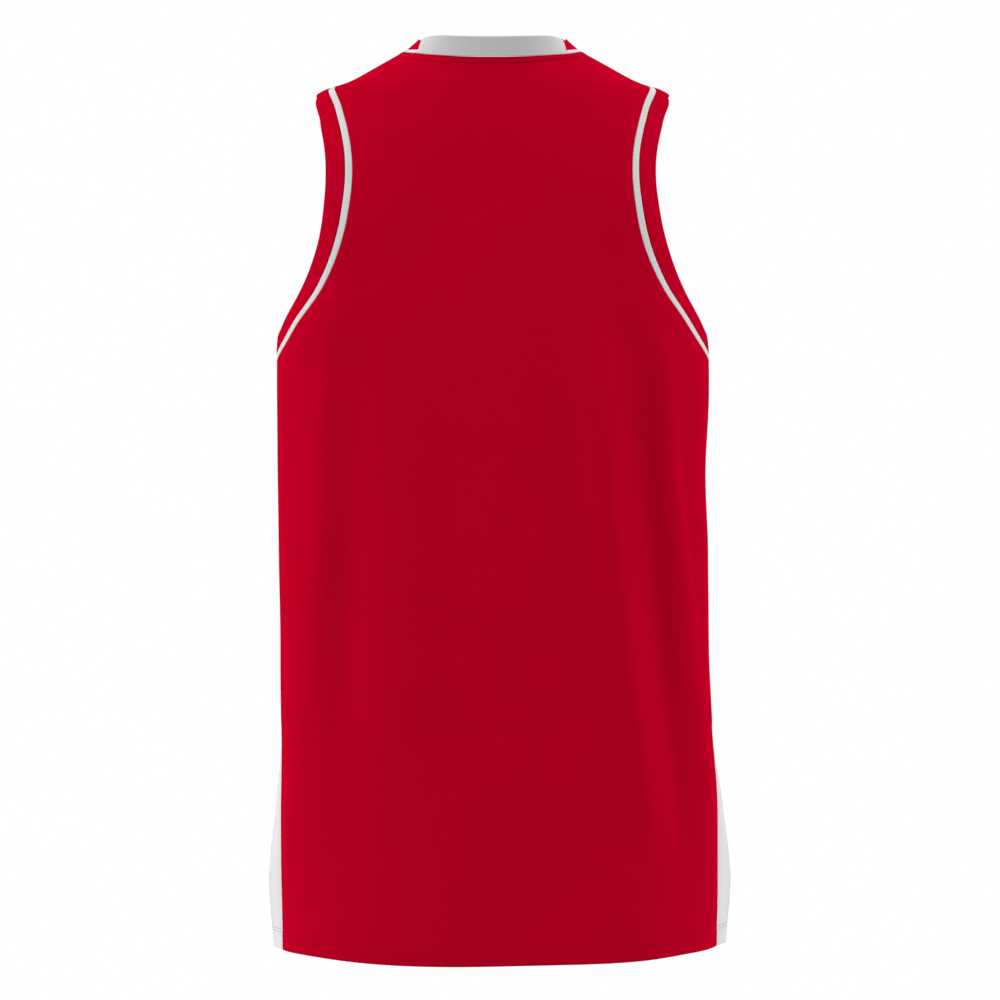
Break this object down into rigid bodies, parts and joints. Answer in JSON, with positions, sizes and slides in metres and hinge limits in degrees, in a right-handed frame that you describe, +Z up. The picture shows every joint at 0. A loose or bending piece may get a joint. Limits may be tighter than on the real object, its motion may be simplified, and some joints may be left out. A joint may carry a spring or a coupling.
{
  "type": "basketball jersey",
  "caption": "Sleeveless sports jersey with a scooped neck, contrast piping at neck and armholes, panelled sides and a short vent at each side of the hem.",
  "frame": {"origin": "midway between the two high shoulder points of the neck seam, where the wearer holds the jersey up", "axes": "+X the wearer's left, +Y the back, +Z up"},
  "size_m": [0.386, 0.2468, 0.7593],
  "materials": {
    "red_knit": "matte",
    "white_knit": "matte",
    "off_white_knit": "matte"
  },
  "bodies": {
    "root": {"back_panel": "red_knit", "front_panel": "red_knit", "side_top_left": "white_knit", "side_top_right": "white_knit", "side_middle_left": "red_knit", "side_middle_right": "red_knit", "side_low_left": "white_knit", "side_low_right": "white_knit", "armhole_piping_left": "white_knit", "armhole_piping_right": "white_knit", "armhole_band_left": "red_knit", "armhole_band_right": "red_knit", "neck_insert": "off_white_knit", "neck_band": "red_knit", "neck_piping": "white_knit"}
  },
  "joints": []
}
